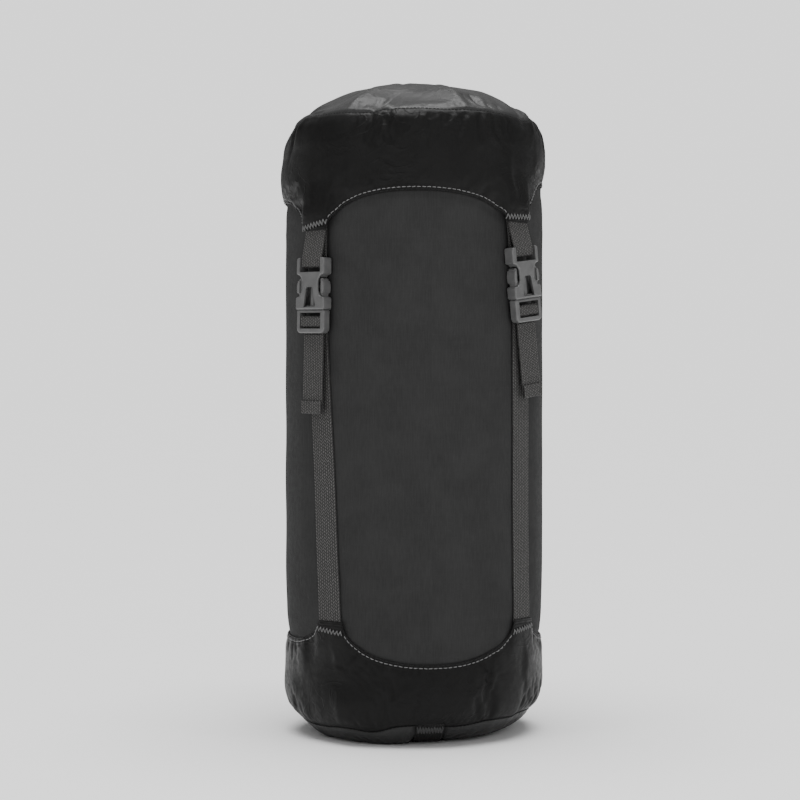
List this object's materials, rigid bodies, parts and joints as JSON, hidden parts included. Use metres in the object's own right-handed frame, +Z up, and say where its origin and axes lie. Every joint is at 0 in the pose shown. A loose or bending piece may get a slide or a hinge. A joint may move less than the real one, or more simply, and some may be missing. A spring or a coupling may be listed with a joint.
{
  "type": "compression sack",
  "caption": "Stuffed compression sack: a grey fabric tube between a scalloped black base and lid, pulled together by buckled webbing straps.",
  "frame": {"origin": "on the floor, in the middle under the base", "axes": "+Z up along the sack, from the base to the lid; -Y is the front"},
  "size_m": [0.1924, 0.1924, 0.473],
  "materials": {
    "shell_grey": "charcoal coated ripstop nylon",
    "shell_mid": "mid-grey coated nylon",
    "shell_dark": "dark grey coated nylon",
    "shell_black": "black coated nylon, slight sheen",
    "binding": "folded black tape",
    "webbing": "grey woven polyester webbing",
    "thread": "light grey thread",
    "buckle": "grey moulded acetal"
  },
  "bodies": {
    "sack": {"body_tube": "shell_grey", "base_cup": "shell_black", "base_disc": "shell_dark", "base_seam_binding": "binding", "base_handle": "webbing", "handle_bartacks": "thread", "base_bartacks": "thread", "base_tab_front_left": "shell_black", "lower_strap_front_left": "webbing", "base_tab_front_right": "shell_black", "lower_strap_front_right": "webbing", "base_tab_back_right": "shell_black", "lower_strap_back_right": "webbing", "base_tab_back_left": "shell_black", "lower_strap_back_left": "webbing"},
    "mouth": {"mouth_collar": "shell_grey", "mouth_hem": "shell_black", "cord_exit_patch": "shell_black"},
    "lid": {"lid_skirt": "shell_black", "lid_disc": "shell_mid", "lid_seam_binding": "binding", "lid_bartacks": "thread", "lid_tab_front_left": "shell_black", "strap_loop_front_left": "webbing", "strap_wrap_front_left": "webbing", "buckle_socket_front_left": "buckle", "buckle_frame_front_left": "buckle", "lid_tab_front_right": "shell_black", "strap_loop_front_right": "webbing", "strap_wrap_front_right": "webbing", "buckle_socket_front_right": "buckle", "buckle_frame_front_right": "buckle", "lid_tab_back_right": "shell_black", "strap_loop_back_right": "webbing", "strap_wrap_back_right": "webbing", "buckle_socket_back_right": "buckle", "buckle_frame_back_right": "buckle", "lid_tab_back_left": "shell_black", "strap_loop_back_left": "webbing", "strap_wrap_back_left": "webbing", "buckle_socket_back_left": "buckle", "buckle_frame_back_left": "buckle"},
    "prong_left_front_left": {"prong_left_front_left": "buckle"},
    "prong_right_front_left": {"prong_right_front_left": "buckle"},
    "tail_front_left": {"tail_front_left": "webbing"},
    "tail_end_front_left": {"tail_hem_front_left": "webbing"},
    "prong_left_front_right": {"prong_left_front_right": "buckle"},
    "prong_right_front_right": {"prong_right_front_right": "buckle"},
    "tail_front_right": {"tail_front_right": "webbing"},
    "tail_end_front_right": {"tail_hem_front_right": "webbing"},
    "prong_left_back_right": {"prong_left_back_right": "buckle"},
    "prong_right_back_right": {"prong_right_back_right": "buckle"},
    "tail_back_right": {"tail_back_right": "webbing"},
    "tail_end_back_right": {"tail_hem_back_right": "webbing"},
    "prong_left_back_left": {"prong_left_back_left": "buckle"},
    "prong_right_back_left": {"prong_right_back_left": "buckle"},
    "tail_back_left": {"tail_back_left": "webbing"},
    "tail_end_back_left": {"tail_hem_back_left": "webbing"}
  },
  "joints": [
    {"name": "compression", "type": "slide", "parent": "sack", "child": "lid", "axis": [0, 0, 1], "range_m": [-0.1, 0.035], "deforming": ["body_tube", "lower_strap_front_left", "lower_strap_front_right", "lower_strap_back_right", "lower_strap_back_left"]},
    {"name": "mouth_slide", "type": "slide", "parent": "sack", "child": "mouth", "axis": [0, 0, 1], "range_m": [-0.1, 0.035], "deforming": ["body_tube"]},
    {"name": "press_left_front_left", "type": "hinge", "parent": "lid", "child": "prong_left_front_left", "pos_m": [-0.0862, -0.05088, 0.30992], "axis": [0.788, 0.6157, 0], "range_deg": [0, 9], "stiffness_Nm_per_rad": 0.4},
    {"name": "press_right_front_left", "type": "hinge", "parent": "lid", "child": "prong_right_front_left", "pos_m": [-0.0721, -0.06892, 0.30932], "axis": [-0.788, -0.6157, 0], "range_deg": [0, 9], "stiffness_Nm_per_rad": 0.4},
    {"name": "swing_front_left", "type": "hinge", "parent": "lid", "child": "tail_front_left", "pos_m": [-0.07876, -0.05886, 0.28778], "axis": [-0.6155, 0.7877, 0.0262], "range_deg": [0, 80]},
    {"name": "feed_front_left", "type": "slide", "parent": "tail_front_left", "child": "tail_end_front_left", "axis": [-0.0161, 0.0206, -0.9997], "range_m": [-0.035, 0.1], "deforming": ["tail_front_left"]},
    {"name": "press_left_front_right", "type": "hinge", "parent": "lid", "child": "prong_left_front_right", "pos_m": [0.06074, -0.07859, 0.31659], "axis": [-0.6428, 0.766, 0], "range_deg": [0, 9], "stiffness_Nm_per_rad": 0.4},
    {"name": "press_right_front_right", "type": "hinge", "parent": "lid", "child": "prong_right_front_right", "pos_m": [0.07813, -0.064, 0.31958], "axis": [0.6428, -0.766, 0], "range_deg": [0, 9], "stiffness_Nm_per_rad": 0.4},
    {"name": "swing_front_right", "type": "hinge", "parent": "lid", "child": "tail_front_right", "pos_m": [0.07101, -0.06874, 0.29642], "axis": [-0.7595, -0.6373, -0.1305], "range_deg": [0, 80]},
    {"name": "feed_front_right", "type": "slide", "parent": "tail_front_right", "child": "tail_end_front_right", "axis": [0.1, 0.0839, -0.9914], "range_m": [-0.035, 0.1], "deforming": ["tail_front_right"]},
    {"name": "press_left_back_right", "type": "hinge", "parent": "lid", "child": "prong_left_back_right", "pos_m": [0.0834, 0.05446, 0.31308], "axis": [-0.788, -0.6157, 0], "range_deg": [0, 9], "stiffness_Nm_per_rad": 0.4},
    {"name": "press_right_back_right", "type": "hinge", "parent": "lid", "child": "prong_right_back_right", "pos_m": [0.06932, 0.07248, 0.31428], "axis": [0.788, 0.6157, 0], "range_deg": [0, 9], "stiffness_Nm_per_rad": 0.4},
    {"name": "swing_back_right", "type": "hinge", "parent": "lid", "child": "tail_back_right", "pos_m": [0.07491, 0.06379, 0.29186], "axis": [0.6148, -0.7869, -0.0523], "range_deg": [0, 80]},
    {"name": "feed_back_right", "type": "slide", "parent": "tail_back_right", "child": "tail_end_back_right", "axis": [-0.0322, 0.0412, -0.9986], "range_m": [-0.035, 0.1], "deforming": ["tail_back_right"]},
    {"name": "press_left_back_left", "type": "hinge", "parent": "lid", "child": "prong_left_back_left", "pos_m": [-0.05811, 0.0808, 0.31294], "axis": [0.6428, -0.766, 0], "range_deg": [0, 9], "stiffness_Nm_per_rad": 0.4},
    {"name": "press_right_back_left", "type": "hinge", "parent": "lid", "child": "prong_right_back_left", "pos_m": [-0.07561, 0.06611, 0.31454], "axis": [-0.6428, 0.766, 0], "range_deg": [0, 9], "stiffness_Nm_per_rad": 0.4},
    {"name": "swing_back_left", "type": "hinge", "parent": "lid", "child": "tail_back_left", "pos_m": [-0.06742, 0.07175, 0.29194], "axis": [0.7642, 0.6412, -0.0698], "range_deg": [0, 80]},
    {"name": "feed_back_left", "type": "slide", "parent": "tail_back_left", "child": "tail_end_back_left", "axis": [-0.0534, -0.0448, -0.9976], "range_m": [-0.035, 0.1], "deforming": ["tail_back_left"]}
  ],
  "couplings": [
    {"joint": "mouth_slide", "follows": "compression", "ratio": 1},
    {"joint": "feed_front_left", "follows": "compression", "ratio": -1},
    {"joint": "feed_front_right", "follows": "compression", "ratio": -1},
    {"joint": "feed_back_right", "follows": "compression", "ratio": -1},
    {"joint": "feed_back_left", "follows": "compression", "ratio": -1}
  ]
}
